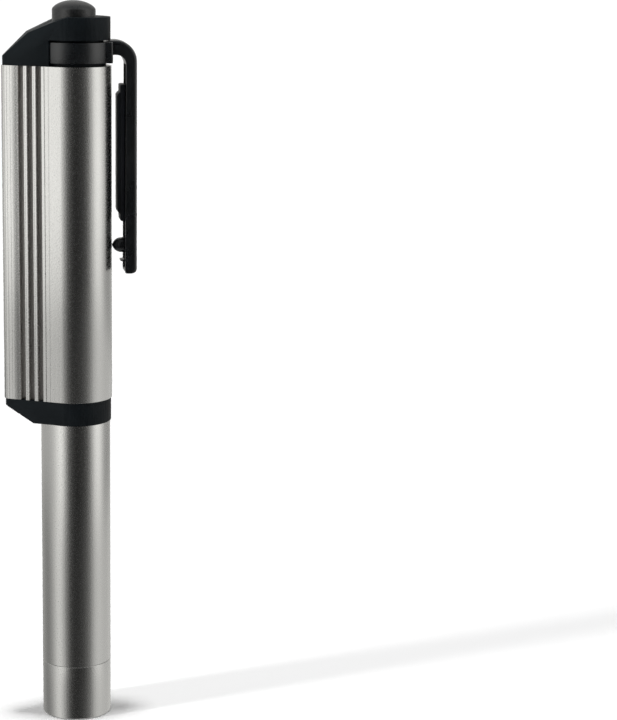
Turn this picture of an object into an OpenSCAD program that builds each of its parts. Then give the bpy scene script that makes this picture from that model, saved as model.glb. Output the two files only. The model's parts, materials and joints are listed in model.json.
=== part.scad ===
// Pocket penlight with a teardrop aluminium housing, swivel pocket clip, push-button
// tail switch, screw-in round barrel and lamp head.
// Millimetres. +Z runs up the barrel axis to the button. The origin is on that axis, on
// the flat end of the bezel that the light stands on. +X points to the clip at rest.

/* [Lamp head] */
// Outside radius of the bezel and of the barrel
tube_r = 7.0; // [6:0.1:9]
// Length of the bezel, from its flat end to the seam
bezel_len = 11.4; // [8:0.1:20]
// Radius of the opening in front of the lens
window_r = 5.6; // [4:0.1:6]
// Bevel on the bezel's front edge
bezel_bevel = 0.35; // [0:0.05:1]
// Thickness of the lens
lens_t = 1.45; // [1:0.05:2.5]
// Radius of the reflector's mouth
bowl_r = 5.3; // [3:0.1:5.5]
// Radius of the reflector's throat
throat_r = 1.8; // [1:0.1:3]
// Depth of the reflector
bowl_h = 6.2; // [5:0.1:6.3]

/* [Barrel] */
// Radius of the bore that the cells sit in
cell_bore_r = 5.6; // [5.4:0.05:7]
// Radius of the screwed spigots at the barrel's two ends
spigot_r = 6.2; // [5.9:0.05:7]
// Length of the front spigot inside the bezel
front_spigot = 5.0; // [3:0.5:8]
// Height of the barrel's upper shoulder, where the collar starts
collar_z = 62.4; // [40:0.1:90]
// Length of the rear spigot above that shoulder
rear_spigot = 13.6; // [8:0.1:20]

/* [Housing] */
// Radius of the housing's round side
housing_r = 7.4; // [6.5:0.05:10]
// Distance from the axis to the housing's nose
nose_x = 14.35; // [10:0.05:20]
// Angle between a flank and the plane of symmetry
flank_a = 27.5; // [10:0.5:40]
// Height of the housing
housing_len = 67.0; // [40:0.1:100]
// Radius of the housing's bore
housing_bore_r = 6.25; // [5.5:0.05:7]
// Radius of the small channel in the nose
channel_r = 1.5; // [0.5:0.1:2]
// Distance from the axis to that channel
channel_x = 9.3; // [8:0.1:11]
// Width of a deep flank groove
groove_w = 1.02; // [0.3:0.02:1.2]
// Depth of a deep flank groove
groove_d = 1.0; // [0.1:0.05:1.2]
// Width of a fine flank line
line_w = 0.22; // [0.1:0.02:0.5]
// Depth of a fine flank line
line_d = 0.14; // [0.05:0.01:0.3]
// Distance from the axis to the deep groove nearest the nose
groove_x = 10.72; // [10.6:0.02:10.9]
// Distance from one deep groove to the next
groove_pitch = 1.7; // [1.5:0.02:1.8]
// Distance from the axis to the first of the two fine lines beyond the grooves
line_x = 6.1; // [5.6:0.05:6.4]
// Distance between those two lines, and between the two beside the nose
line_pitch = 0.8; // [0.4:0.05:0.9]
// Distance from the axis to the start of the facet between the nose bead and the grooves
facet_x = 12.25; // [12.0:0.05:12.3]
// How far that facet has sunk at the middle of the first groove
facet_d = 0.24; // [0.05:0.01:0.3]
// Radius of the fine flutes on the nose bead
flute_r = 0.14; // [0.05:0.01:0.2]

/* [Collar and cap] */
// Height of the collar
collar_h = 4.7; // [3:0.1:8]
// Radius of the collar's round side
collar_r = 7.2; // [6.8:0.05:8]
// Radius of the cap's round side
cap_r = 7.2; // [6.8:0.05:8]
// Height of the cap above the housing
cap_h = 9.55; // [7:0.1:15]
// Half angle of the window that the clip swings in
window_a = 135; // [60:1:150]

/* [Button and switch] */
// Radius of the push button
button_r = 4.3; // [3:0.05:4.6]
// Height of the button's crown
crown_h = 1.85; // [0.5:0.05:3]
// How far the button goes in
button_travel = 1.2; // [0.5:0.1:2]

/* [Clip] */
// Outside radius of the swivel ring
ring_r = 7.2; // [6.8:0.05:8]
// Height of the swivel ring
ring_h = 4.1; // [3:0.1:4.5]
// Width of the arm
arm_w = 6.0; // [4:0.1:9]
// Thickness of the arm below the bend
arm_t = 2.2; // [1:0.05:3]
// Thickness of the arm at its tip
tip_t = 2.4; // [1:0.05:3]
// Thickness of the bar between the ring and the bend
bar_t = 2.86; // [1:0.02:3.4]
// Depth of the hollow in the arm's inner face
hollow_d = 0.7; // [0:0.05:1.2]
// Distance from the axis to the arm's outer face
arm_x = 12.25; // [10:0.05:16]
// Length of the clip, from its top to its tip
clip_len = 46.45; // [30:0.05:60]
// Outer radius of the bend
bend_r = 4.2; // [3:0.1:4.7]
// Inner radius of the bend
inner_bend_r = 1.9; // [1:0.1:2.2]
// Height of the bump above the arm's tip
bump_z = 5.45; // [4.5:0.05:8]
// Length of the grip pad
pad_len = 27.2; // [10:0.1:30]
// Width of the grip pad
pad_w = 5.0; // [3:0.1:6]

/* [Cells] */
// Radius of a size AAA cell
cell_r = 5.25; // [5:0.05:5.3]
// Length of a size AAA cell over its terminal
cell_len = 44.5; // [43:0.1:44.6]

/* [Hidden] */
$fn = 96;
gap = 0.05; // running gap between screwed or turning pieces
rest = 0.02; // gap between pieces that stand on each other
hair = 0.004; // how far the flanks run past their touching points
far = 30; // past the outside of everything
housing_z = collar_z + collar_h;
top_z = housing_z + housing_len; // upper end of the housing
cap_top = top_z + cap_h;
black_nose = nose_x - 0.25; // the collar's and the cap's nose
flange_t = 0.5;
neck_r = 5.8; // the clip ring turns on this
neck_bore = 4.8;
neck_top = top_z + 6.9;
ring_z = top_z + flange_t + 2 * gap;
button_side = cap_top + button_travel + 0.1; // the crown starts here, above the cap when pressed
flange_r = neck_bore - 0.1; // of the button, inside the neck
ring_top = ring_z + ring_h;
arm_top = ring_top + 0.35;
arm_in = arm_x - arm_t;
tip_z = arm_top - clip_len;
leg_z = arm_top - bar_t - inner_bend_r; // the leg's inner face leans from here to the tip
rim_t = 0.8; // the bezel's rim, in front of the lens
lens_z = rim_t + gap;
seal_wire = 0.3;
seal_z = lens_z + lens_t + rest + seal_wire;
bowl_z = seal_z + seal_wire + rest;
board_z = 10; // face of the LED's board
board_t = 1.0;
sink_z = board_z + board_t + gap; // the heat sink's floor, behind that board
sink_top = sink_z + 3.35;
driver_z = sink_top + gap;
cell_z = 23.5; // tip of the lower cell's terminal
terminal_h = 0.8;
spring_z = cell_z + 2 * cell_len;
bush_z = top_z - 15.2;
floor_t = 1.5;
case_z = bush_z + floor_t + 0.35;
case_top = top_z - 1.8;
plunger_r = 1.62;
inner_top = cap_top - 0.5; // the button's ceiling
o_groove_z = collar_z + 2.0; // groove of the barrel's O-ring
o_groove_w = 0.6;
shoulder_r = 6.5; // the barrel inside the collar
peg_r = channel_r - 0.04;
aluminium = [0.74, 0.74, 0.73];
black = [0.1, 0.11, 0.12];
steel = [0.7, 0.7, 0.7];

// ---- shared shapes ----

function nose_r(r, nx) = (r - nx * sin(flank_a)) / (1 - sin(flank_a));
function flank_y(r, x) = (r + x * sin(flank_a)) / cos(flank_a);

// Smooth teardrop: a circle on the axis and a small circle at the nose, joined by tangents.
// The flanks end a hair inside both circles, so that they cross them cleanly.
module teardrop(r, nx) {
  nr = nose_r(r, nx);
  cx = nr - nx;
  function touch(x, rad, side) =
    [x - (rad - hair) * sin(flank_a), side * (rad - hair) * cos(flank_a)];
  circle(r = r);
  translate([cx, 0]) circle(r = nr);
  polygon([touch(0, r, 1), touch(cx, nr, 1), touch(cx, nr, -1), touch(0, r, -1)]);
}

// A cut in both flanks, at the given distance from the axis along X.
module flank_cut(x, w, d) {
  for (s = [0, 1])
    mirror([0, s])
      translate([-x, flank_y(housing_r, -x)])
        rotate(flank_a) square([w, 2 * d], center = true);
}

// A wedge off one flank, from facet_x down into the middle of the first groove
module facet_cut(side) {
  start = flank_y(housing_r, -facet_x);
  end = flank_y(housing_r, -groove_x);
  polygon([[-facet_x, side * start], [-groove_x, side * (end - facet_d / cos(flank_a))],
    [-groove_x, side * (end + 1)], [-facet_x, side * (start + 1)]]);
}

module tube(ro, ri, h) {
  difference() {
    cylinder(r = ro, h = h);
    translate([0, 0, -1]) cylinder(r = ri, h = h + 2);
  }
}

module torus(r, wire) {
  rotate_extrude() translate([r, 0]) circle(r = wire, $fn = 24);
}

// Wire coils from radius r0 to radius r1, tied by one thin rod.
module coils(h, n, r0, r1, wire) {
  step = (h - 2 * wire) / (n - 1);
  lean = atan2(r1 - r0, h - 2 * wire);
  rod = sqrt(pow(h - 2 * wire, 2) + pow(r1 - r0, 2));
  for (i = [0 : n - 1])
    translate([0, 0, wire + i * step]) torus(r0 + (r1 - r0) * i / (n - 1), wire);
  translate([r0, 0, wire]) rotate([0, lean, 0]) cylinder(r = wire * 0.6, h = rod, $fn = 24);
}

// ---- lamp head ----

module bezel() color(aluminium) rotate_extrude()
  polygon([[window_r, 0], [tube_r - bezel_bevel, 0], [tube_r, bezel_bevel],
    [tube_r, bezel_len - gap], [spigot_r + gap, bezel_len - gap], [spigot_r + gap, rim_t],
    [window_r, rim_t]]);

module lens() color([0.85, 0.9, 0.95, 0.4])
  translate([0, 0, lens_z]) cylinder(r = spigot_r - gap, h = lens_t);

module lens_oring() color(black)
  translate([0, 0, seal_z]) torus(spigot_r - gap - seal_wire, seal_wire);

module reflector() {
  steps = 10;
  wall = 0.5;
  rim_r = bowl_r + 0.35;
  rim_h = 0.6;
  function bowl(i) = throat_r + (bowl_r - throat_r) * sqrt(1 - i / steps);
  inner = [for (i = [0 : steps]) [bowl(i), bowl_z + bowl_h * i / steps]];
  outer = [for (i = [steps : -1 : 1]) [bowl(i) + wall, bowl_z + bowl_h * i / steps]];
  color([0.85, 0.85, 0.87]) rotate_extrude()
    polygon(concat(inner, outer, [[rim_r, bowl_z + rim_h], [spigot_r - gap, bowl_z + rim_h],
      [spigot_r - gap, bowl_z]]));
}

// A flat base with a domed lens that reaches into the reflector's throat
module led() color([0.95, 0.9, 0.55]) {
  base_z = board_z - gap - 0.6;
  dome_z = base_z - 0.75;
  translate([0, 0, base_z]) cylinder(r = 1.7, h = 0.6);
  translate([0, 0, dome_z]) cylinder(r = 1.2, h = 0.8);
  translate([0, 0, dome_z]) sphere(r = 1.2, $fn = 48);
}

module led_board() color([0.9, 0.9, 0.88])
  translate([0, 0, board_z]) cylinder(r = 5.0, h = board_t);

// A cup whose skirt goes down around the LED's board and up around the driver's parts
module heat_sink() {
  outer_r = cell_bore_r - gap;
  skirt_r = 5.1;
  rim_r = 4.4;
  floor_top = sink_z + 2.15;
  color([0.75, 0.6, 0.3]) rotate_extrude()
    polygon([[0, sink_z], [skirt_r, sink_z], [skirt_r, board_z - 0.4], [outer_r, board_z - 0.4],
      [outer_r, sink_top], [rim_r, sink_top], [rim_r, floor_top], [0, floor_top]]);
}

module driver_board() color([0.1, 0.35, 0.2]) {
  translate([0, 0, driver_z]) cylinder(r = 5.4, h = board_t);
  translate([-2.4, -1.6, driver_z - 0.95]) cube([2.0, 1.4, 1.0]);
  translate([0.6, 0.2, driver_z - 0.85]) cube([1.6, 1.6, 0.9]);
  translate([0, 0, driver_z + board_t - gap]) cylinder(r = 1.3, h = 0.3);
}

// Stands on the driver board and carries the lower cell
module lamp_spring() {
  foot_z = driver_z + board_t + gap;
  color(steel) translate([0, 0, foot_z]) coils(cell_z - gap - foot_z, 6, 3.6, 1.7, 0.35);
}

// ---- barrel ----

module barrel() color(aluminium) rotate_extrude()
  polygon([[cell_bore_r, bezel_len - front_spigot], [spigot_r, bezel_len - front_spigot],
    [spigot_r, bezel_len], [tube_r, bezel_len], [tube_r, collar_z - gap],
    [shoulder_r, collar_z - gap], [shoulder_r, o_groove_z], [shoulder_r - 0.5, o_groove_z],
    [shoulder_r - 0.5, o_groove_z + o_groove_w], [shoulder_r, o_groove_z + o_groove_w],
    [shoulder_r, housing_z - 0.2], [spigot_r, housing_z - 0.2],
    [spigot_r, collar_z + rear_spigot], [cell_bore_r, collar_z + rear_spigot]]);

module barrel_oring() {
  wire = 0.255;
  color(black) translate([0, 0, o_groove_z + o_groove_w / 2])
    torus(shoulder_r - 0.5 + wire + rest / 2, wire);
}

// ---- collar and housing ----

// Teardrop ring whose underside slopes up to the nose, with a peg into the housing's channel
module collar() color(black) {
  slope_x = 7.15; // the slope starts here, at the foot
  slope_z = collar_z + 3.9; // and ends here, past the nose
  difference() {
    intersection() {
      translate([0, 0, collar_z]) linear_extrude(collar_h - rest) teardrop(collar_r, black_nose);
      rotate([90, 0, 0]) linear_extrude(far, center = true)
        polygon([[-black_nose - 1, housing_z + 1], [-black_nose - 1, slope_z],
          [-slope_x, collar_z - 1], [far, collar_z - 1], [far, housing_z + 1]]);
    }
    translate([0, 0, collar_z - 1]) cylinder(r = shoulder_r + gap, h = collar_h + 2);
  }
  translate([-channel_x, 0, housing_z - 1]) cylinder(r = peg_r, h = 6);
}

// Extrusion with deep grooves, fine lines and a facet on each flank, and flutes on the nose bead
module housing() color(aluminium) translate([0, 0, housing_z]) linear_extrude(housing_len)
  difference() {
    bead_r = nose_r(housing_r, nose_x);
    teardrop(housing_r, nose_x);
    circle(r = housing_bore_r);
    translate([-channel_x, 0]) circle(r = channel_r);
    for (i = [0 : 2]) flank_cut(groove_x - i * groove_pitch, groove_w, groove_d);
    for (i = [0 : 1]) {
      flank_cut(groove_x - (i + 0.5) * groove_pitch, line_w, line_d);
      flank_cut(line_x - i * line_pitch, line_w, line_d);
      flank_cut(nose_x - 1.05 - i * line_pitch, line_w, line_d);
    }
    for (s = [-1, 1]) {
      facet_cut(s);
      translate([bead_r - nose_x, 0]) rotate(180 + s * 44) translate([bead_r, 0])
        circle(r = flute_r, $fn = 24);
    }
  }

// ---- cells ----

// The terminal points to the lamp
module cell(z) color([0.2, 0.25, 0.3]) {
  translate([0, 0, z]) cylinder(r = 1.9, h = 1.0);
  translate([0, 0, z + terminal_h]) cylinder(r = cell_r, h = cell_len - terminal_h - rest);
}

module cell_lower() cell(cell_z);

module cell_upper() cell(cell_z + cell_len);

// Fills the step between the barrel's end and the neck bush
module cell_sleeve() {
  foot_z = collar_z + rear_spigot + 0.2;
  color([0.85, 0.82, 0.72]) translate([0, 0, foot_z])
    tube(housing_bore_r - 0.1, cell_r + 0.15, bush_z - 2 - foot_z);
}

module tail_spring() color(steel)
  translate([0, 0, spring_z + gap]) coils(bush_z - 0.85 - spring_z, 5, 2.6, 4.0, 0.4);

// ---- tail switch ----

// A rivet through the bush's floor: its head takes the spring, its tip touches the switch
module switch_contact() color([0.8, 0.65, 0.3]) {
  translate([0, 0, bush_z - 0.75]) cylinder(r = 4.6, h = 0.7);
  translate([0, 0, bush_z - 0.2]) cylinder(r = 1.9, h = floor_t + 0.5);
}

module switch_case() color([0.15, 0.15, 0.16]) difference() {
  translate([0, 0, case_z]) cylinder(r = neck_bore - 0.1, h = case_top - case_z);
  translate([0, 0, case_top - 2.5]) cylinder(r = plunger_r + 0.08, h = 4);
}

// Goes from inside the switch case up to the button's ceiling
module switch_plunger() {
  foot_z = case_top - 1.0;
  color([0.9, 0.9, 0.88]) translate([0, 0, foot_z])
    cylinder(r = plunger_r, h = inner_top - gap - foot_z);
}

module button_spring() {
  foot_z = case_top + 0.03;
  color(steel) translate([0, 0, foot_z]) coils(inner_top - gap - foot_z, 8, 2.45, 2.45, 0.25);
}

// Hollow dome with a flange that keeps it in the neck
module push_button() {
  skirt_r = 3.2;
  foot_z = neck_top - 0.7;
  flange_z = neck_top + 0.1;
  crown = [for (t = [0 : 9 : 90])
    [button_r * cos(t), button_side + crown_h * pow(sin(t), 1.25)]];
  color([0.12, 0.12, 0.13]) rotate_extrude()
    polygon(concat([[skirt_r, foot_z], [flange_r, foot_z], [flange_r, flange_z],
      [button_r, flange_z]], crown, [[0, inner_top], [skirt_r, inner_top]]));
}

// ---- neck and cap ----

// Pressed into the housing: the flange lies on its end and the neck stands up through the ring
module neck_bush() {
  wall_r = housing_bore_r - gap;
  contact_r = 2.0;
  flange_z = top_z + rest;
  seat_r = 6.35;
  color([0.16, 0.17, 0.18]) rotate_extrude()
    polygon([[contact_r, bush_z], [wall_r, bush_z], [wall_r, flange_z], [seat_r, flange_z],
      [seat_r, top_z + flange_t], [neck_r, top_z + flange_t], [neck_r, neck_top],
      [neck_bore, neck_top], [neck_bore, bush_z + floor_t], [contact_r, bush_z + floor_t]]);
}

// Side view of the cap: three slopes from the flat top down past the nose
module cap_side() polygon([[-far, top_z - 4], [-20, top_z - 3.87], [-9.16, top_z + 6.46],
  [-3.9, top_z + 8.8], [-1.7, cap_top], [-1.7, cap_top + 1], [far, cap_top + 1],
  [far, top_z - 4]]);

module tail_cap() color(black) {
  under = ring_top + 0.4; // underside over the clip ring
  difference() {
    intersection() {
      translate([0, 0, top_z + rest]) linear_extrude(cap_h - rest) teardrop(cap_r, black_nose);
      rotate([90, 0, 0]) linear_extrude(far, center = true) cap_side();
    }
    // room for the clip ring, open to the window
    translate([0, 0, top_z - 1]) cylinder(r = ring_r + 0.1, h = under - top_z + 1);
    translate([0, 0, top_z - 1]) linear_extrude(under - top_z + 1)
      polygon([[0, 0], far * [cos(window_a), sin(window_a)], [far, far], [far, -far],
        far * [cos(window_a), -sin(window_a)]]);
    // socket for the neck, and the hole for the button
    translate([0, 0, under - 1]) cylinder(r = neck_r + gap, h = neck_top + 0.15 - under + 1);
    translate([0, 0, under]) cylinder(r = button_r + 0.08, h = cap_h);
  }
  translate([-channel_x, 0, top_z - 5]) cylinder(r = peg_r, h = 6);
}

// ---- clip ----

// A band with a flat boss that the arm grows from
module clip_ring() {
  boss_in = 4;
  boss_out = 7.4;
  boss_w = 8.4;
  color([0.13, 0.14, 0.15]) translate([0, 0, ring_z]) difference() {
    union() {
      cylinder(r = ring_r, h = ring_h);
      translate([boss_in, -boss_w / 2, 0]) cube([boss_out - boss_in, boss_w, ring_h]);
    }
    translate([0, 0, -1]) cylinder(r = neck_r + gap, h = ring_h + 2);
  }
}

// Side view of the arm: a bar out from the ring, a bend, and a long leg with a rounded tip
module arm_side() {
  root_x = 7.45;
  tip_r = 0.9;
  bend_x = arm_x - bend_r;
  bend_z = arm_top - bend_r;
  inner_x = arm_in - inner_bend_r;
  difference() {
    union() {
      translate([root_x, leg_z]) square([bend_x - root_x, arm_top - leg_z]);
      translate([bend_x, bend_z]) circle(r = bend_r);
      polygon([[arm_in, bend_z], [arm_x, bend_z], [arm_x, tip_z + tip_r], [arm_x - tip_r, tip_z],
        [arm_x - tip_t, tip_z], [arm_in, leg_z]]);
      translate([arm_x - tip_r, tip_z + tip_r]) circle(r = tip_r, $fn = 48);
    }
    translate([inner_x, leg_z]) circle(r = inner_bend_r, $fn = 48);
    translate([root_x - far, bend_z - far / 2]) square([far, far]);
    translate([inner_x - far, leg_z - far]) square([far, far + inner_bend_r]);
    translate([inner_x - 1, leg_z - far]) square([inner_bend_r + 1, far]);
  }
}

// The blunt bump that bears on the housing, its nose at +Z, with a small nib on it
module bump() {
  nib_r = 0.32;
  nib_z = 2.46;
  reach = 2.4;
  root_r = 1.52;
  rotate_extrude($fn = 48)
    polygon(concat([[0, -1], [root_r, -1]], [for (i = [0 : 10])
      let (h = reach * sin(i * 7.5)) [root_r * pow(1 - pow(h / reach, 3), 0.6), h]],
      [[nib_r, nib_z - 0.1], [nib_r - 0.1, nib_z], [0, nib_z]]));
}

module clip_arm() color([0.13, 0.14, 0.15]) {
  rib = [2.0, 3.0, 0.5];
  rim = 0.6;
  foot_z = tip_z + 0.7;
  difference() {
    rotate([90, 0, 0]) linear_extrude(arm_w, center = true) arm_side();
    // a shallow hollow with a rim around it
    translate([arm_in - 1, rim - arm_w / 2, foot_z])
      cube([1 + hollow_d, arm_w - 2 * rim, leg_z - foot_z]);
  }
  translate([arm_in - 0.12, 0, tip_z + bump_z]) rotate([0, -90, 0]) bump();
  translate([arm_in - 1, -rib[1] / 2, tip_z + 2.2]) cube(rib);
}

// A tray on the arm's inside with a narrower, thicker grip on it
module clip_pad() {
  foot_z = tip_z + 10.54;
  head_z = foot_z + pad_len;
  function back_x(z) = arm_in - rest - (tip_t - arm_t) * (leg_z - z) / (leg_z - tip_z);
  tray_x = arm_in - 1.1;
  grip_x = arm_in - 1.7;
  bevel = 0.35;
  color([0.09, 0.1, 0.1]) rotate([90, 0, 0]) {
    linear_extrude(pad_w, center = true)
      polygon([[back_x(foot_z), foot_z], [tray_x + bevel, foot_z], [tray_x, foot_z + bevel],
        [tray_x, head_z - bevel], [tray_x + bevel, head_z], [back_x(head_z), head_z]]);
    linear_extrude(pad_w - 0.6, center = true)
      polygon([[tray_x + 0.4, foot_z + 1.3], [tray_x, foot_z + 1.3], [grip_x, foot_z + 1.95],
        [grip_x, head_z - 2.0], [tray_x, head_z - 1.42], [tray_x + 0.4, head_z - 1.42]]);
  }
}

// ---- nodes ----

bezel();
lens();
lens_oring();
reflector();
led();
led_board();
heat_sink();
driver_board();
lamp_spring();
barrel();
barrel_oring();
collar();
housing();
cell_lower();
cell_upper();
cell_sleeve();
tail_spring();
switch_contact();
switch_case();
switch_plunger();
button_spring();
push_button();
neck_bush();
tail_cap();
clip_ring();
clip_arm();
clip_pad();
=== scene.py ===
"""Looks for a pocket penlight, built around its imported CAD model.

Everything is in metres in the CAD frame: +Z up the barrel, +X to the clip, origin on the bezel's flat end.
"""

import json
import math

import bmesh
import bpy
from mathutils import Matrix, Vector
from mathutils.geometry import tessellate_polygon


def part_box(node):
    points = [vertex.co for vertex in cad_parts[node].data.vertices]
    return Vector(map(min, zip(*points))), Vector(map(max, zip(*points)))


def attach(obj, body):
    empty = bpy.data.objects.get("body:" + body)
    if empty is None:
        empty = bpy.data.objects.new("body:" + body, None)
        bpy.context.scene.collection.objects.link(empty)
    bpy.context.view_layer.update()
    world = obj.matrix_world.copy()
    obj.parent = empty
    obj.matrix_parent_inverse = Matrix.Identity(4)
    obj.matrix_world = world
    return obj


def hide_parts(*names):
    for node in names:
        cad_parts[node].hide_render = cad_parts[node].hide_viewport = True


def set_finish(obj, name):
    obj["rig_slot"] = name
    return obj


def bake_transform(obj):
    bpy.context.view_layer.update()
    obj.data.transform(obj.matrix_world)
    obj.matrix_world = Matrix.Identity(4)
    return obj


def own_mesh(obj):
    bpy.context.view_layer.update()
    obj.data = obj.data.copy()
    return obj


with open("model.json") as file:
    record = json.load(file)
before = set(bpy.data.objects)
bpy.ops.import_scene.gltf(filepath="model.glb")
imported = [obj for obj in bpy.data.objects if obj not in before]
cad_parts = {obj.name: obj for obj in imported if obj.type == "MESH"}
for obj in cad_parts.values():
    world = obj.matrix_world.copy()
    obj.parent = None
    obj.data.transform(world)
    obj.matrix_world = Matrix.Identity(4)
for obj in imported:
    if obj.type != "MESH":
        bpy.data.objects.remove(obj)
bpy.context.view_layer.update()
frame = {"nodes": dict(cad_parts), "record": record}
MM = 0.001

# ---- sizes, read from the CAD nodes where they show them ----

TUBE_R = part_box("barrel")[1].x
SEAM_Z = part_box("bezel")[1].z
BARREL_LOW, BARREL_HIGH = (corner.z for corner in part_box("barrel"))
COLLAR_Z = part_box("collar")[0].z
HOUSING_Z, TOP_Z = (corner.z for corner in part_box("housing"))
HOUSING_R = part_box("housing")[1].x
NOSE_X = -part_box("housing")[0].x
COLLAR_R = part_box("collar")[1].x
COLLAR_NOSE = -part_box("collar")[0].x
CAP_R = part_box("tail_cap")[1].x
CAP_NOSE = -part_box("tail_cap")[0].x
CAP_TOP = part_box("tail_cap")[1].z
RING_Z, CLIP_TOP = (corner.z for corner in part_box("clip_ring"))
RING_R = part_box("clip_ring")[1].y
BOSS_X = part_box("clip_ring")[1].x
ARM_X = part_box("clip_arm")[1].x
ARM_W = 2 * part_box("clip_arm")[1].y
ARM_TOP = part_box("clip_arm")[1].z
TIP_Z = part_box("clip_arm")[0].z
PAD_LOW, PAD_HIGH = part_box("clip_pad")
BUTTON_LOW, BUTTON_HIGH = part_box("push_button")

FLANK = math.radians(27.5)  # between a flank and the plane through nose and clip
GAP = 0.05 * MM  # between pieces that screw together
REST = 0.02 * MM  # between pieces that lie on each other
BORE_R = 6.25 * MM  # of the housing
CHANNEL_R, CHANNEL_X = 1.5 * MM, 9.3 * MM  # the small channel in the housing's nose
CELL_BORE_R = 5.6 * MM  # of the barrel
SPIGOT_R = 6.2 * MM  # of the barrel's ends, inside the housing and the bezel
SEAL_R = 6.5 * MM  # of the barrel inside the collar
NECK_R = 5.85 * MM  # of the neck that the clip ring turns on
BUTTON_R = 4.3 * MM
ARM_T, TIP_T, BAR_T = 2.2 * MM, 2.4 * MM, 2.86 * MM  # the leg, its tip and the bar to the ring
BEND_R, INNER_BEND_R = 4.2 * MM, 1.9 * MM
GROOVE_X, GROOVE_PITCH = 10.72 * MM, 1.7 * MM
GROOVE_W, GROOVE_D = 1.02 * MM, 1.0 * MM
FACET_X = 12.25 * MM  # start of the facet beside the nose
FINE_X, FAINT_X = 6.15 * MM, (5.35 * MM, 12.65 * MM, 13.3 * MM)  # lines drawn on the flank
LEG_Z = ARM_TOP - BAR_T - INNER_BEND_R  # below this the arm is straight
HOLLOW_D = 0.7 * MM  # of the hollow in the arm's inner face
HOLLOW_FOOT = TIP_Z + 0.7 * MM
PAD_STEP = PAD_LOW.x + 0.6 * MM  # X of the pad's tray, which its raised face stands on
WINDOW = math.radians(135)  # half of the cap's window, which the clip swings in
CAMERA_TURN = -93.9  # direction of the camera from the object, in degrees about Z


# ---- mesh helpers ----


def piece(name, verts, faces, body, replaced=(), slot=None, sharp=32):
    """A smooth-shaded mesh that rides on a body, with edges over sharp degrees kept crisp."""
    mesh = bpy.data.meshes.new(name)
    mesh.from_pydata([tuple(v) for v in verts], [], faces)
    mesh.validate()
    obj = bpy.data.objects.new(name, mesh)
    bpy.context.scene.collection.objects.link(obj)
    recalculate(mesh)
    smooth(mesh, sharp)
    if body:
        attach(obj, body)
    if replaced:
        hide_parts(*replaced)
    if slot:
        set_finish(obj, slot)
    return obj


def recalculate(mesh):
    """Joins points that coincide and turns every face outwards."""
    bm = bmesh.new()
    bm.from_mesh(mesh)
    bmesh.ops.remove_doubles(bm, verts=bm.verts, dist=1e-7)
    bmesh.ops.recalc_face_normals(bm, faces=bm.faces)
    bm.to_mesh(mesh)
    bm.free()


def smooth(mesh, sharp):
    mesh.shade_smooth()
    mesh.set_sharp_from_angle(angle=math.radians(sharp))


def arc(cx, cy, r, start, end, steps):
    """Points on an arc, angles in degrees, both ends included."""
    turns = [math.radians(start + (end - start) * i / steps) for i in range(steps + 1)]
    return [(cx + r * math.cos(a), cy + r * math.sin(a)) for a in turns]


def circle(cx, cy, r, steps):
    return arc(cx, cy, r, 0, 360, steps)[:-1]


def rounded(points, radius, steps=4):
    """A closed outline with its corners turned into arcs: one radius for all, or a list."""
    most = 0.45  # share of an edge that an arc may take
    out = []
    radii = radius if isinstance(radius, list) else [radius] * len(points)
    for i, p in enumerate(points):
        p = Vector(p)
        back = Vector(points[i - 1]) - p
        ahead = Vector(points[(i + 1) % len(points)]) - p
        r = min(radii[i], back.length * most, ahead.length * most)
        a, b = p + back.normalized() * r, p + ahead.normalized() * r
        for k in range(steps + 1):
            t = k / steps
            out.append(tuple(a * (1 - t) ** 2 + p * 2 * t * (1 - t) + b * t**2))
    return out


def middle_corners(points, radius, steps=4):
    """The two middle ones of four points, turned into arcs."""
    return rounded(points, radius, steps)[steps + 1 : 3 * (steps + 1)]


def inset(outline, distance):
    """A counter-clockwise outline moved inwards along its own normals."""
    out = []
    for i, p in enumerate(outline):
        before, after = Vector(outline[i - 1]), Vector(outline[(i + 1) % len(outline)])
        along = (Vector(p) - before).normalized() + (after - Vector(p)).normalized()
        if along.length < 1e-9:
            along = after - before
        along.normalize()
        out.append((p[0] - along.y * distance, p[1] + along.x * distance))
    return out


def prism(outer, holes, low, high, bevel, upright=True):
    """Vertices and faces of an extruded outline with holes and bevelled ends.

    Upright extrudes along +Z. Otherwise the outline is in X and Z, and low and high are along Y.
    """
    verts, faces = [], []

    def put(points, level):
        start = len(verts)
        verts.extend((x, y, level) if upright else (x, level, y) for x, y in points)
        return list(range(start, len(verts)))

    def wall(a, b):
        faces.extend((a[i - 1], a[i], b[i], b[i - 1]) for i in range(len(a)))

    middle = bevel * 0.3
    steps = [(bevel, 0), (middle, middle), (0, bevel)]
    levels = [(back, low + up) for back, up in steps]
    levels += [(back, high - up) for back, up in reversed(steps)]
    rings = [put(inset(outer, back), level) for back, level in levels]
    for a, b in zip(rings, rings[1:]):
        wall(a, b)
    inner = [[put(hole, level) for level in (low, high)] for hole in holes]
    for a, b in inner:
        wall(b, a)
    for end, ring in ((0, rings[0]), (1, rings[-1])):
        loops = [ring] + [pair[end] for pair in inner]
        flat = [i for loop in loops for i in loop]
        lines = [[Vector((*flat_point(verts[i], upright), 0)) for i in loop] for loop in loops]
        faces.extend(tuple(flat[k] for k in tri) for tri in tessellate_polygon(lines))
    return verts, faces


def flat_point(vert, upright):
    """A vertex in the outline's own plane."""
    return (vert[0], vert[1]) if upright else (vert[0], vert[2])


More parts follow.
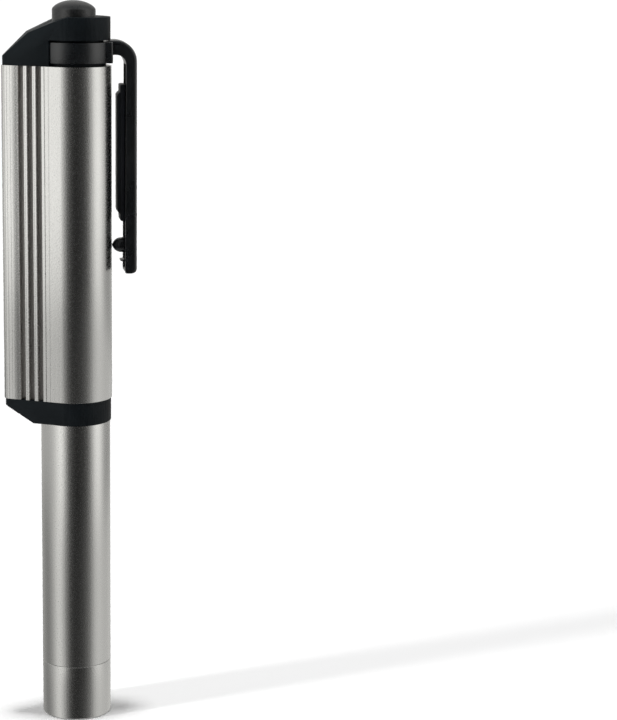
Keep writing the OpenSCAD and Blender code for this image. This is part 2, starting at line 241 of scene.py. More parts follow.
def lathe(profile, steps=144, closed=True):
    """Vertices and faces of a profile of (radius, height) turned about the Z axis."""
    on_axis = 1e-7
    verts, faces, rows = [], [], []
    for r, z in profile:
        start = len(verts)
        if r < on_axis:
            verts.append((0, 0, z))
            rows.append([start] * steps)
            continue
        turns = [2 * math.pi * i / steps for i in range(steps)]
        verts.extend((r * math.cos(a), r * math.sin(a), z) for a in turns)
        rows.append(list(range(start, start + steps)))
    pairs = list(zip(rows, rows[1:])) + ([(rows[-1], rows[0])] if closed else [])
    for a, b in pairs:
        for i in range(steps):
            quad = (a[i - 1], a[i], b[i], b[i - 1])
            face = tuple(dict.fromkeys(quad))
            if len(face) > 2:
                faces.append(face)
    return verts, faces


def loft(rings):
    """Vertices and faces of a solid through rings of equally many points, closed at both ends."""
    n = len(rings[0])
    verts = [point for ring in rings for point in ring]
    faces = []
    for low in range(0, len(verts) - n, n):
        for i in range(n):
            before = (i - 1) % n
            faces.append((low + before, low + i, low + n + i, low + n + before))
    faces += [tuple(range(n)), tuple(reversed(range(len(verts) - n, len(verts))))]
    return verts, faces


def cut(obj, verts, faces):
    """Takes a solid away from obj."""
    tool = piece("cutter", verts, faces, None)
    step = obj.modifiers.new("cut", "BOOLEAN")
    step.operation = "DIFFERENCE"
    step.solver = "EXACT"
    step.object = tool
    apply_modifiers(obj)
    bpy.data.objects.remove(tool)


def apply_modifiers(obj):
    """Makes what the modifiers give the object's own mesh."""
    bpy.context.view_layer.update()
    graph = bpy.context.evaluated_depsgraph_get()
    mesh = bpy.data.meshes.new_from_object(obj.evaluated_get(graph))
    obj.modifiers.clear()
    obj.data = mesh


def soften(obj, width):
    """Rounds the sharp edges, after flat faces are merged."""
    same_point, same_plane = 2e-6, 0.002
    bm = bmesh.new()
    bm.from_mesh(obj.data)
    bmesh.ops.remove_doubles(bm, verts=bm.verts, dist=same_point)
    bmesh.ops.dissolve_limit(bm, angle_limit=same_plane, verts=bm.verts, edges=bm.edges)
    bm.to_mesh(obj.data)
    bm.free()
    step = obj.modifiers.new("round", "BEVEL")
    step.width = width
    step.segments = 3
    step.limit_method = "ANGLE"
    step.angle_limit = math.radians(25)
    step.use_clamp_overlap = True
    step.miter_outer = "MITER_ARC"
    step.harden_normals = True
    apply_modifiers(obj)
    smooth(obj.data, 40)


def slice_off(obj, point, away):
    """Cuts off what lies beyond a plane, on the side that away points to, and closes the cut."""
    bm = bmesh.new()
    bm.from_mesh(obj.data)
    everything = bm.verts[:] + bm.edges[:] + bm.faces[:]
    made = bmesh.ops.bisect_plane(
        bm, geom=everything, dist=1e-7, plane_co=point, plane_no=away.normalized(), clear_outer=True
    )
    rim = [e for e in made["geom_cut"] if isinstance(e, bmesh.types.BMEdge) and e.is_boundary]
    bmesh.ops.triangle_fill(bm, use_beauty=True, use_dissolve=True, edges=rim)
    bmesh.ops.recalc_face_normals(bm, faces=bm.faces)
    bm.to_mesh(obj.data)
    bm.free()


# ---- the teardrop section ----


def nose_radius(r, reach):
    """Radius of the nose that both straight flanks run into."""
    return (r - reach * math.sin(FLANK)) / (1 - math.sin(FLANK))


def flank_points(r, reach, detail):
    """The flank on the +Y side, from the round side to the nose, with its cuts."""
    nr = nose_radius(r, reach)
    start = Vector((-r * math.sin(FLANK), r * math.cos(FLANK)))
    end = Vector((nr - reach - nr * math.sin(FLANK), nr * math.cos(FLANK)))
    along = (end - start).normalized()
    inward = Vector((-along.y, along.x))
    points = [(0.0, 0.0)]
    for at, shape in detail:
        s = (-at - start.x) / along.x
        points.extend((s + ds, depth) for ds, depth in shape)
    points.append(((end - start).length, 0.0))
    return [tuple(start + along * s + inward * depth) for s, depth in points]


def groove(width, depth, far_lip=0.0):
    """A square groove with broken edges: steps along the flank, and depths."""
    half, edge = width / 2, min(width, depth) * 0.12
    near = [(-half - edge, 0), (-half, edge), (-half, depth - edge), (-half + edge, depth)]
    far = [(half - edge, depth), (half, depth - edge), (half, far_lip + edge), (half + edge, far_lip)]
    return near + far


def teardrop(r, reach, detail=(), flutes=(), steps=120):
    """The section's outline, counter-clockwise: round side, flank, nose, flank.

    Flutes are faint hollows in the nose, at directions in degrees.
    """
    flute_d, flute_spread = 0.05 * MM, 3.2
    side = 90 + math.degrees(FLANK)
    nr = nose_radius(r, reach)
    upper = flank_points(r, reach, detail)
    nose = []
    for x, y in arc(nr - reach, 0, nr, side, 360 - side, 60):
        turn = math.degrees(math.atan2(y, x - nr + reach)) % 360
        dip = sum(flute_d * math.exp(-(((turn - f) / flute_spread) ** 2)) for f in flutes)
        pull = 1 - dip / nr
        nose.append((nr - reach + (x - nr + reach) * pull, y * pull))
    lower = [(x, -y) for x, y in reversed(upper)]
    return arc(0, 0, r, -side, side, steps)[1:-1] + upper + nose[1:-1] + lower


# ---- the pieces ----


def flank_rows():
    """The cuts in a flank by their X: three deep grooves, a facet and the fine lines between them."""
    deep, fine = groove(GROOVE_W, GROOVE_D), groove(0.22 * MM, 0.12 * MM)
    faint = groove(0.2 * MM, 0.05 * MM)
    # the facet beside the nose sinks gently to the lip of the first groove
    lip, bend, sink = 0.18 * MM, 0.55 * MM, 0.1 * MM
    rows = [(GROOVE_X, groove(GROOVE_W, GROOVE_D, lip)), (FACET_X, [(-bend, sink), (0, 0)])]
    rows += [(GROOVE_X - i * GROOVE_PITCH, deep) for i in (1, 2)]
    rows += [(GROOVE_X - i * GROOVE_PITCH, faint) for i in (0.5, 1.5)]
    rows += [(FINE_X, fine), *((x, faint) for x in FAINT_X)]
    return sorted(rows, key=lambda row: row[0])


def make_housing():
    """An extrusion with a round bore and, in its nose, a small channel."""
    outline = teardrop(HOUSING_R, NOSE_X, flank_rows(), flutes=(136, 224))
    holes = [circle(0, 0, BORE_R, 96), circle(-CHANNEL_X, 0, CHANNEL_R, 32)]
    solid = prism(outline, holes, HOUSING_Z, TOP_Z, 0.07 * MM)
    return piece("housing_shell", *solid, "housing_body", ["housing"], "satin_aluminium")


def make_barrel():
    """A turned tube. Behind its shoulder are the seal's slot and the spigot."""
    foot, shoulder, step = SEAM_Z + GAP, COLLAR_Z - GAP, HOUSING_Z - 0.2 * MM
    slot_r, slot_low, slot_high = 6.0 * MM, COLLAR_Z + 2.0 * MM, COLLAR_Z + 2.6 * MM
    profile = [
        (CELL_BORE_R, BARREL_LOW), (SPIGOT_R, BARREL_LOW), (SPIGOT_R, foot), (TUBE_R, foot),
        (TUBE_R, shoulder), (SEAL_R, shoulder), (SEAL_R, slot_low), (slot_r, slot_low),
        (slot_r, slot_high), (SEAL_R, slot_high), (SEAL_R, step), (SPIGOT_R, step),
        (SPIGOT_R, BARREL_HIGH), (CELL_BORE_R, BARREL_HIGH),
    ]
    solid = lathe(rounded(profile, 0.09 * MM, 3), 192)
    return piece("barrel_tube", *solid, "barrel_body", ["barrel"], "satin_aluminium")


def make_bezel():
    """A short ring around the barrel's lower spigot, with rounded corners at the seam."""
    bore, lip = SPIGOT_R + GAP, 0.8 * MM
    chamfer, edge = 0.05 * MM, 0.36 * MM
    profile = [(CELL_BORE_R + chamfer, 0), (CELL_BORE_R, chamfer), (CELL_BORE_R, lip), (bore, lip)]
    wall = [(bore, lip), (bore, SEAM_Z), (TUBE_R, SEAM_Z), (TUBE_R, lip)]
    profile += middle_corners(wall, 0.12 * MM, 3)
    profile += arc(TUBE_R - edge, edge, edge, 0, -90, 8)
    solid = lathe(profile, 192)
    return piece("bezel_ring", *solid, "barrel_body", ["bezel"], "satin_aluminium")


def make_collar():
    """A ring with the housing's outline, its nose sloped up from below."""
    hole = circle(0, 0, 6.55 * MM, 96)
    solid = prism(teardrop(COLLAR_R, COLLAR_NOSE), [hole], COLLAR_Z, HOUSING_Z - REST, 0)
    obj = piece("collar_shell", *solid, "housing_body", ["collar"], "black_plastic")
    foot_x, rise = 7.15 * MM, 4.9 * MM
    run = COLLAR_NOSE + MM - foot_x
    slice_off(obj, Vector((-foot_x, 0, COLLAR_Z - MM)), Vector((-rise, 0, -run)))
    soften(obj, 0.28 * MM)
    return obj


def make_cap():
    """A cap with the housing's outline. Three facets run from its flat top down to the nose."""
    base, under = TOP_Z + REST, CLIP_TOP + 0.4 * MM
    solid = prism(teardrop(CAP_R, CAP_NOSE), [], base, CAP_TOP, 0)
    obj = piece("cap_shell", *solid, "housing_body", ["tail_cap"], "black_plastic")
    ridge = [(-1.7, 9.55), (-3.9, 8.8), (-9.16, 6.46), (-14.1, 1.75)]
    points = [Vector((x * MM, 0, TOP_Z + z * MM)) for x, z in ridge]
    for high, low in zip(points, points[1:]):
        fall = high - low
        slice_off(obj, low, Vector((-fall.z, 0, fall.x)))
    cut_window(obj, base - MM, under)
    cut_sockets(obj, under - MM)
    soften(obj, 0.13 * MM)
    return obj


def cut_window(obj, low, high):
    """Makes room for the clip ring, open on the clip's side."""
    room, far = RING_R + 0.12 * MM, 30 * MM
    half = math.degrees(WINDOW)
    cut(obj, *lathe([(0, low), (room, low), (room, high), (0, high)], 144, False))
    cut(obj, *prism([(0, 0), *arc(0, 0, far, -half, half, 8)], [], low, high, 0))


def cut_sockets(obj, low):
    """Makes the socket for the neck and, above it, the hole for the button."""
    step, top, hole_r = CAP_TOP - 2.5 * MM, CAP_TOP + MM, BUTTON_R + 0.08 * MM
    neck = [(0, low), (NECK_R, low), (NECK_R, step)]
    hole = [(hole_r, step), (hole_r, top), (0, top)]
    cut(obj, *lathe(neck + hole, 144, False))


def make_clip_ring():
    """A band around the neck, with a square boss that holds the arm."""
    half, root = 4.2 * MM, 5.6 * MM
    open_angle = math.degrees(math.asin(half / RING_R))
    boss = [(root, -half), (BOSS_X, -half), (BOSS_X, half), (root, half)]
    outline = arc(0, 0, RING_R, open_angle, 360 - open_angle, 120) + middle_corners(boss, 0.5 * MM)
    solid = prism(outline, [circle(0, 0, NECK_R, 96)], RING_Z, CLIP_TOP, 0.16 * MM)
    return piece("swivel_band", *solid, "swivel_ring", ["clip_ring"], "clip_plastic")


def leg_face(z):
    """X of the arm's inner face, which leans in towards the tip below the bend."""
    return ARM_X - ARM_T - (TIP_T - ARM_T) * max(0, LEG_Z - z) / (LEG_Z - TIP_Z)


def arm_sections():
    """Inner and outer points of the clip arm in X and Z, from its root in the ring to its tip."""
    root, under = BOSS_X - 0.8 * MM, ARM_TOP - BAR_T
    outer_z = ARM_TOP - BEND_R
    inner_bend = arc(ARM_X - ARM_T - INNER_BEND_R, LEG_Z, INNER_BEND_R, 90, 0, 18)
    outer_bend = arc(ARM_X - BEND_R, outer_z, BEND_R, 90, 0, 18)
    sections = [((root, under), (root, ARM_TOP)), *zip(inner_bend, outer_bend)]
    tip_r, heel_r = 0.9 * MM, 0.35 * MM
    low, steps = TIP_Z + tip_r, 24
    levels = [outer_z + (low - outer_z) * i / steps for i in range(1, steps + 1)]
    pairs = [(min(z, LEG_Z), z) for z in levels]
    # two close steps make the hollow's upper end square
    near = 0.01 * MM
    pairs += [(z, z) for z in (LEG_Z - near, LEG_Z + near)]
    for inner, outer in sorted(pairs, key=lambda pair: pair[1], reverse=True):
        sections.append(((leg_face(inner), inner), (ARM_X, outer)))
    # the tip has a full round outside and a small one inside
    for x, z in arc(ARM_X - tip_r, low, tip_r, -12, -84, 7):
        t = max(0, (TIP_Z + heel_r - z) / heel_r)
        sections.append(((leg_face(z) + heel_r * (1 - math.sqrt(1 - t * t)), z), (x, z)))
    return sections


def arm_outline(depth, hollow):
    """The arm's section in depth and width: sharp corners inside and full ones outside."""
    half, rim = ARM_W / 2, 0.6 * MM
    sharp, full = 0.12 * MM, 0.75 * MM
    outline = [(0, -half), (depth, -half), (depth, half), (0, half), (0, half - rim)]
    outline += [(hollow, half - rim), (hollow, rim - half), (0, rim - half)]
    return rounded(outline, [sharp, full, full, *[sharp] * 5], 5)


def make_clip_arm():
    """A bent blade. Its leg's inner face is hollow between two rims."""
    rings = []
    for inner, outer in arm_sections():
        a, b = Vector((inner[0], 0, inner[1])), Vector((outer[0], 0, outer[1]))
        out = (b - a).normalized()
        hollow = HOLLOW_D if HOLLOW_FOOT < inner[1] < LEG_Z else 0.0
        outline = arm_outline((b - a).length, hollow)
        rings.append([a + out * depth + Vector((0, width, 0)) for depth, width in outline])
    obj = piece("clip_blade", *loft(rings), None, ["clip_arm"], "clip_plastic", sharp=50)
    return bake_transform(obj)


def make_clip_bump():
    """The blunt bump near the arm's tip, lathed along -X, with a small nib on its nose."""
    reach, root_r = 2.4 * MM, 1.52 * MM
    nib_r, nib_z, bevel = 0.32 * MM, 2.46 * MM, 0.1 * MM
    shape = [(0, -MM), (root_r, -MM)]
    for i in range(13):
        h = math.sin(math.radians(6 * i))
        shape.append((root_r * (1 - h**3) ** 0.6, reach * h))
    shape += [(nib_r, nib_z - bevel), (nib_r - bevel, nib_z), (0, nib_z)]
    verts, faces = lathe(shape, 48, False)
    lean, above_tip = 0.12 * MM, 5.45 * MM
    turn = Matrix.Rotation(-math.pi / 2, 4, "Y")
    place = Matrix.Translation((ARM_X - ARM_T - lean, 0, TIP_Z + above_tip)) @ turn
    placed = [place @ Vector(v) for v in verts]
    return piece("clip_bump", placed, faces, "clip_lever", (), "clip_plastic", sharp=60)


def make_clip_rib():
    """The thin tapered rib below the bump."""
    tip, root = ARM_X - ARM_T - 1.0 * MM, ARM_X - ARM_T + 0.8 * MM
    middle, thin, thick = TIP_Z + 2.45 * MM, 0.09 * MM, 0.31 * MM
    side = [(tip, middle - thin), (root, middle - thick), (root, middle + thick), (tip, middle + thin)]
    half = 1.5 * MM
    solid = prism(rounded(side, 0.08 * MM), [], -half, half, 0.1 * MM, upright=False)
    return piece("clip_rib", *solid, "clip_lever", (), "clip_plastic")


def make_pad_tray():
    """The pad's flat base, which lies on the arm's leaning leg."""
    sharp = 0.05 * MM
    backs = [(leg_face(z) - REST, z) for z in (PAD_LOW.z, PAD_HIGH.z)]
    side = [(PAD_STEP, PAD_LOW.z), *backs, (PAD_STEP, PAD_HIGH.z)]
    side = rounded(side, [0.6 * MM, sharp, sharp, 0.35 * MM])
    solid = prism(side, [], PAD_LOW.y, PAD_HIGH.y, 0.22 * MM, upright=False)
    return piece("pad_base", *solid, "clip_lever", ["clip_pad"], "pad_plastic")


def make_pad_face():
    """The raised face with sloped ends that grips the cloth."""
    half, root, face = PAD_HIGH.y - 0.3 * MM, PAD_STEP + 0.4 * MM, PAD_LOW.x
    foot, head = PAD_LOW.z + 1.3 * MM, PAD_HIGH.z - 1.42 * MM
    low, high = PAD_LOW.z + 1.95 * MM, PAD_HIGH.z - 2.0 * MM
    sharp = 0.05 * MM
    side = [(root, foot), (root, head), (PAD_STEP, head), (face, high), (face, low), (PAD_STEP, foot)]
    side = rounded(side, [sharp, sharp, sharp, 0.25 * MM, 0.6 * MM, sharp])
    solid = prism(side, [], -half, half, 0.18 * MM, upright=False)
    return piece("pad_face", *solid, "clip_lever", (), "pad_plastic")


def make_button():
    """A domed button with a soft shoulder, hollow underneath."""
    crown, flange_t, skirt_r = 1.85 * MM, 0.8 * MM, 3.2 * MM
    side, ceiling = BUTTON_HIGH.z - crown, CAP_TOP - 0.5 * MM
    foot, flange = BUTTON_LOW.z, BUTTON_HIGH.x
    profile = [(skirt_r, foot), (flange, foot), (flange, foot + flange_t), (BUTTON_R, foot + flange_t)]
    steps = 24
    for i in range(steps + 1):
        t = math.radians(90 * i / steps)
        profile.append((BUTTON_R * math.cos(t), side + crown * math.sin(t) ** 1.25))
    profile += [(0, ceiling), (skirt_r, ceiling)]
    solid = lathe(profile, 128)
    return piece("button_dome", *solid, "button", ["push_button"], "button_rubber", sharp=45)


def make_button_spring():
    """A coil spring for the button, of round wire in eight turns."""
    low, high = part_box("button_spring")
    foot, length = (0, 0, low.z), high.z - low.z
    wire_r, coil_r, turns = 0.25 * MM, 2.45 * MM, 8
    steps = 32 * turns
    rings = []
    for i in range(steps + 1):
        turn = 2 * math.pi * turns * i / steps
        height = low.z + wire_r + (length - 2 * wire_r) * i / steps
        section = circle(coil_r, height, wire_r, 10)
        rings.append([(r * math.cos(turn), r * math.sin(turn), z) for r, z in section])
    coil = piece("button_coil", *loft(rings), "housing_body", ["button_spring"], "spring_steel")
    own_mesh(coil)
    return coil


# ---- materials ----


class Nodes:
    """A material's node tree, with short ways to add and link nodes."""

    def __init__(self, name):
        self.material = bpy.data.materials.new(name)
        self.material.use_nodes = True
        self.tree = self.material.node_tree
        self.shader = self.tree.nodes["Principled BSDF"]
        self.place = self.tree.nodes.new("ShaderNodeTexCoord").outputs["Object"]

    def link(self, a, b):
        self.tree.links.new(a, b)

    def fill(self, socket, value):
        """Links what is a socket, and sets what is a constant."""
        if isinstance(value, bpy.types.NodeSocket):
            self.link(value, socket)
        else:
            socket.default_value = value

    def add(self, kind, **inputs):
        """A new node and what goes into it, with _ for a space in a socket's name."""
        node = self.tree.nodes.new(kind)
        for key, value in inputs.items():
            self.fill(node.inputs[key.replace("_", " ")], value)
        return node

    def noise(self, scale, stretch=(1, 1, 1), detail=3.0, rough=0.5):
        """Noise of about scale features per metre, drawn out along an axis by a small stretch."""
        drawn = self.add("ShaderNodeMapping", Vector=self.place, Scale=stretch).outputs["Vector"]
        texture = self.add("ShaderNodeTexNoise", Vector=drawn, Scale=scale, Detail=detail, Roughness=rough)
        return texture.outputs["Fac"]

    def ramp(self, value, low, high, start=0.3, end=0.7):
        """A number or colour that follows value between start and end."""
        node = self.add("ShaderNodeValToRGB", Fac=value)
        for element, at, colour in zip(node.color_ramp.elements, (start, end), (low, high)):
            element.position = at
            element.color = (*colour, 1) if isinstance(colour, tuple) else (colour, colour, colour, 1)
        return node.outputs["Color"]

    def math(self, operation, *values):
        """A calculation with numbers and sockets."""
        node = self.tree.nodes.new("ShaderNodeMath")
        node.operation = operation
        for socket, value in zip(node.inputs, values):
            self.fill(socket, value)
        return node.outputs["Value"]

    def stops(self, turn, levels):
        """Brightness by direction: a list of degrees from -180 to 180 and levels."""
        node = self.add("ShaderNodeValToRGB", Fac=turn)
        elements = node.color_ramp.elements
        for k, (degrees, level) in enumerate(levels):
            element = elements[k] if k < 2 else elements.new(1)
            element.position = 0.5 + degrees / 360
            element.color = (level, level, level, 1)
        return node.outputs["Color"]

    def mix(self, kind, factor, first, second):
        """A blend of two numbers (FLOAT) or colours (RGBA). Only that kind's sockets are enabled."""
        node = self.tree.nodes.new("ShaderNodeMix")
        node.data_type = kind
        sockets = [socket for socket in node.inputs if socket.enabled]
        for socket, value in zip(sockets, (factor, first, second)):
            self.fill(socket, value)
        return next(socket for socket in node.outputs if socket.enabled)

    def between(self, value, start, end, low, high):
        """A number that goes from low to high while value goes from start to end."""
        ends = {"From_Min": start, "From_Max": end, "To_Min": low, "To_Max": high}
        return self.add("ShaderNodeMapRange", Value=value, **ends).outputs["Result"]

    def axes(self):
        """The place in the frame, as X, Y and Z."""
        return self.add("ShaderNodeSeparateXYZ", Vector=self.place).outputs

    def bump(self, height, strength, depth, under=None):
        """A relief by height, on top of the one under it."""
        node = self.add("ShaderNodeBump", Strength=strength, Distance=depth, Height=height)
        if under:
            self.link(under, node.inputs["Normal"])
        return node.outputs["Normal"]

    def set(self, **values):
        """Fills the shader's sockets and gives the material."""
        for key, value in values.items():
            self.fill(self.shader.inputs[key.replace("_", " ")], value)
        return self.material


def groove_shade_mask(n):
    """1 inside the housing's deep grooves, where shade is painted, and 0 on every other aluminium face."""
    x, y, z = n.axes()
    lean = n.math("MULTIPLY", x, -math.sin(FLANK))
    reach = n.math("ADD", n.math("MULTIPLY", n.math("ABSOLUTE", y), math.cos(FLANK)), lean)
    skin = 0.2 * MM
    sunk = n.math("LESS_THAN", reach, HOUSING_R - skin)
    band = n.math("COMPARE", x, GROOVE_PITCH - GROOVE_X, GROOVE_PITCH + GROOVE_W)
    above = n.math("GREATER_THAN", z, HOUSING_Z)
    return n.math("MULTIPLY", n.math("MULTIPLY", sunk, band), above)


def satin_aluminium():
    """Fine blasted and clear-anodised aluminium with faint lengthwise drawing lines.

    The deep grooves get painted shade: a dark, less metallic colour that stands in for the shade deep
    inside them.
    """
    n = Nodes("satin_aluminium")
    grain = n.noise(5200, (1, 1, 0.55), 2.0, 0.6)
    drawn = n.noise(2600, (1, 1, 0.012), 2.0, 0.5)
    cloud = n.noise(160, (1, 1, 0.3), 3.0)
    tone = n.ramp(cloud, (0.785, 0.785, 0.772), (0.825, 0.825, 0.812))
    finish = n.ramp(grain, 0.2, 0.29)
    groove_shade = groove_shade_mask(n)
    # painted shade: inside the deep grooves the metal turns dark and less metallic
    metal = n.math("MULTIPLY_ADD", groove_shade, -0.7, 1.0)
    tone = n.mix("RGBA", groove_shade, tone, (0.22, 0.21, 0.195, 1))
    relief = n.bump(drawn, 0.22, 0.00003)
    relief = n.bump(grain, 0.35, 0.00004, relief)
    return n.set(Base_Color=tone, Metallic=metal, Roughness=finish, Normal=relief)


def moulded_plastic(name, colour, rough, spec, grain_scale=2400):
    """Black moulded plastic: spark-eroded texture, a little uneven in shine."""
    n = Nodes(name)
    grain = n.noise(grain_scale, detail=2.0)
    cloud = n.noise(140, detail=4.0)
    worn = tuple(min(1, c * 1.35 + 0.003) for c in colour)
    tone = n.ramp(cloud, colour, worn, 0.35, 0.75)
    finish = n.ramp(cloud, rough - 0.05, rough + 0.06)
    relief = n.bump(grain, 0.25, 0.00004)
    return n.set(Base_Color=tone, Roughness=finish, Normal=relief, Specular_IOR_Level=spec)


def button_rubber():
    """Soft-touch black rubber, worn to an uneven shine."""
    n = Nodes("button_rubber")
    grain = n.noise(1500, detail=5.0, rough=0.7)
    tone = n.ramp(grain, (0.005, 0.0062, 0.007), (0.02, 0.021, 0.022), 0.35, 0.7)
    finish = n.ramp(grain, 0.24, 0.44)
    relief = n.bump(grain, 0.45, 0.00012)
    return n.set(Base_Color=tone, Roughness=finish, Normal=relief, Specular_IOR_Level=0.85)


def plain(name, colour, rough=0.5, metal=0.0, grain_scale=1800, strength=0.12):
    """A simple finish with a slight grain, for the inner pieces."""
    n = Nodes(name)
    grain = n.noise(grain_scale, detail=3.0)
    dark = tuple(c * 0.86 for c in colour)
    tone = n.ramp(grain, dark, colour)
    finish = n.ramp(grain, rough * 0.85, min(1, rough * 1.15))
    relief = n.bump(grain, strength, 0.00003)
    return n.set(Base_Color=tone, Roughness=finish, Metallic=metal, Normal=relief)


def clear_lens():
    n = Nodes("clear_lens")
    haze = n.ramp(n.noise(900, detail=4.0), 0.0, 0.05)
    return n.set(Base_Color=(0.95, 0.97, 0.98, 1), Roughness=haze, Transmission_Weight=1.0, IOR=1.49)


def cell_wrap():
    """Shrink-wrapped cell: a plain dark glossy sleeve, slightly wavy."""
    n = Nodes("cell_wrap")
    fleck = n.noise(700, detail=3.0)
    tone = n.ramp(fleck, (0.018, 0.022, 0.036), (0.024, 0.03, 0.046))
    finish = n.ramp(fleck, 0.22, 0.34)
    relief = n.bump(fleck, 0.1, 0.00005)
    return n.set(Base_Color=tone, Roughness=finish, Coat_Weight=0.3, Normal=relief)


def paint(obj, material):
    obj.data.materials.clear()
    obj.data.materials.append(material)


def paint_everything(shells):
    """Gives every piece and every CAD node the finish of its slot in the record."""
    finishes = {
        "satin_aluminium": satin_aluminium(),
        "clear_lens": clear_lens(),
        "seal_rubber": plain("seal_rubber", (0.012, 0.012, 0.012), 0.6),
        "mirror_coat": plain("mirror_coat", (0.88, 0.88, 0.9), 0.06, 1.0, 600, 0.03),
        "led_resin": plain("led_resin", (0.85, 0.75, 0.25), 0.2),
        "white_board": plain("white_board", (0.8, 0.8, 0.78), 0.45),
        "brass_part": plain("brass_part", (0.72, 0.5, 0.2), 0.3, 1.0),
        "green_board": plain("green_board", (0.01, 0.11, 0.05), 0.35),
        "spring_steel": plain("spring_steel", (0.55, 0.55, 0.56), 0.28, 1.0, 4000),
        "black_plastic": moulded_plastic("black_plastic", (0.0035, 0.0062, 0.0082), 0.5, 0.15),
        "cell_can": cell_wrap(),
        "paper_sleeve": plain("paper_sleeve", (0.6, 0.55, 0.43), 0.8, 0.0, 2500, 0.3),
        "white_plastic": plain("white_plastic", (0.75, 0.75, 0.73), 0.4),
        "button_rubber": button_rubber(),
        "clip_plastic": moulded_plastic("clip_plastic", (0.0038, 0.0056, 0.0072), 0.27, 0.9, 3000),
        "pad_plastic": moulded_plastic("pad_plastic", (0.003, 0.0045, 0.0075), 0.46, 0.26),
    }
    for shell in shells:
        paint(shell, finishes[shell["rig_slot"]])
    for part in frame["record"]["subparts"]:
        paint(frame["nodes"][part["node"]], finishes[part["material_slot"]])


# ---- camera, floor and light ----

# Brightness of the light tent by direction: degrees about the object, 0 towards the camera and
# positive to its right, each with a level. The housing mirrors the upper ones, the barrel the lower.
TENT_UPPER = [
    (-180, 0.6), (-130, 0.45), (-100, 0.45), (-78, 0.56), (-62, 0.84), (-52, 1.08), (-43, 0.88),
    (-34, 0.4), (-26, 0.12), (-14, 0.045), (0, 0.014), (14, 0.024), (28, 0.038), (38, 0.08),
    (46, 0.17), (54, 0.41), (62, 0.72), (70, 0.9), (79, 0.94), (88, 0.82), (97, 0.62),
    (106, 0.4), (118, 0.34), (138, 0.36), (158, 0.55), (180, 0.6),
]
TENT_LOWER = [
    (-180, 0.4), (-148, 0.38), (-120, 0.23), (-105, 0.26), (-92, 0.38), (-80, 0.56), (-68, 0.79),
    (-58, 0.78), (-47, 0.56), (-39, 0.29), (-31, 0.15), (-22, 0.052), (-10, 0.027), (4, 0.03),
    (20, 0.048), (32, 0.09), (42, 0.145), (52, 0.27), (62, 0.52), (70, 0.6), (82, 0.68),
    (95, 0.62), (110, 0.58), (128, 0.58), (150, 0.66), (180, 0.5),
]


def place_camera():
    """The photograph's view: from the front, a little to the nose's side, looking slightly down."""
    yaw, pitch, roll = (math.radians(a) for a in (10.14, 11.45, 0.96))
    place = Vector((-30.0, -436.6, 163.5)) * MM
    away = Vector((math.sin(yaw) * math.cos(pitch), math.cos(yaw) * math.cos(pitch), -math.sin(pitch)))
    right = Vector((math.cos(yaw), -math.sin(yaw), 0))
    up = right.cross(away)
    tilted_right = right * math.cos(roll) + up * math.sin(roll)
    tilted_up = up * math.cos(roll) - right * math.sin(roll)
    turn = Matrix((tilted_right, tilted_up, -away)).transposed().to_4x4()
    data = bpy.data.cameras.new("camera")
    data.lens = 109.3
    data.sensor_width = 36
    data.clip_start = 0.01
    data.clip_end = 50
    camera = bpy.data.objects.new("camera", data)
    camera.matrix_world = Matrix.Translation(place) @ turn
    bpy.context.scene.collection.objects.link(camera)
    bpy.context.scene.camera = camera


def around(degrees, distance, height):
    """A point around the object: 0 degrees is towards the camera, and positive is to its right."""
    turn = math.radians(degrees + CAMERA_TURN)
    return Vector((math.cos(turn) * distance, math.sin(turn) * distance, height))


def distant_light(name, degrees, elevation, strength, softness):
    """A soft light from far off that stays out of the reflections, which the tent makes."""
    data = bpy.data.lights.new(name, "SUN")
    data.energy = strength
    data.angle = math.radians(softness)
    light = bpy.data.objects.new(name, data)
    rise = math.radians(elevation)
    where = around(degrees, math.cos(rise), math.sin(rise))
    light.rotation_euler = (-where).to_track_quat("-Z", "Y").to_euler()
    light.visible_glossy = False
    bpy.context.scene.collection.objects.link(light)


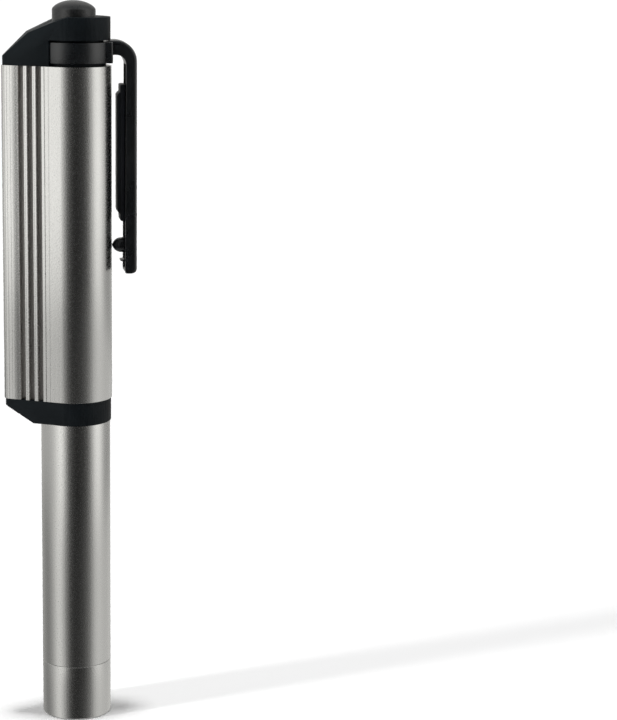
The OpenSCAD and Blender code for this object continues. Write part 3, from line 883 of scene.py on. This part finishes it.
def tent_glow():
    """Light by direction. The lower levels pass into the upper ones where the barrel's top mirrors."""
    n = Nodes("light_tent")
    compass = n.add("ShaderNodeTexGradient", Vector=n.place)
    compass.gradient_type = "RADIAL"
    height = n.axes()["Z"]
    change = n.between(height, -0.11, -0.085, 0.0, 1.0)
    gain = n.between(height, -0.06, 0.06, 0.9, 1.08)
    rings = [n.stops(compass.outputs["Fac"], ring) for ring in (TENT_LOWER, TENT_UPPER)]
    strength = n.math("MULTIPLY", n.mix("FLOAT", change, *rings), gain)
    glow = n.add("ShaderNodeEmission", Color=(1, 0.99, 0.962, 1), Strength=strength)
    n.tree.nodes.remove(n.shader)
    n.link(glow.outputs["Emission"], n.tree.nodes["Material Output"].inputs["Surface"])
    return n.material


def light_tent():
    """An open cylinder of soft boxes and black flags around the object, seen only in reflections."""
    radius, low, high = 0.6, -0.7, 1.2
    verts, faces = lathe([(radius, low), (radius, high)], 180, False)
    mesh = bpy.data.meshes.new("light_tent")
    mesh.from_pydata(verts, [], faces)
    mesh.materials.append(tent_glow())
    tent = bpy.data.objects.new("light_tent", mesh)
    tent.rotation_euler.z = math.radians(CAMERA_TURN)
    bpy.context.scene.collection.objects.link(tent)
    tent.visible_camera = False
    tent.visible_diffuse = False
    tent.visible_transmission = False
    tent.visible_shadow = False



def make_studio():
    """A pale paper floor without an edge, the light tent and two distant lights."""
    scene = bpy.context.scene
    scene.view_settings.view_transform = "Standard"
    world = bpy.data.worlds.new("studio")
    scene.world = world
    world.use_nodes = True
    sky = world.node_tree.nodes["Background"]
    sky.inputs["Color"].default_value = (1, 1, 1, 1)
    sky.inputs["Strength"].default_value = 0.38
    bpy.ops.mesh.primitive_plane_add(size=40, location=(0, 0, 0))
    floor = bpy.context.object
    floor.name = "floor"
    floor.visible_glossy = False
    paper = Nodes("paper_floor")
    paint(floor, paper.set(Base_Color=(0.93, 0.93, 0.93, 1), Roughness=1.0, Specular_IOR_Level=0.0))
    light_tent()
    distant_light("overhead", degrees=0, elevation=90, strength=1.85, softness=4)
    distant_light("key", degrees=-68, elevation=33, strength=0.95, softness=5)


# ---- the scene ----


shells = [make_housing(), make_barrel(), make_bezel(), make_collar(), make_cap(), make_clip_ring()]
shells += [make_clip_arm(), make_clip_bump(), make_clip_rib(), make_pad_tray(), make_pad_face()]
shells += [make_button(), make_button_spring()]
paint_everything(shells)
place_camera()
make_studio()
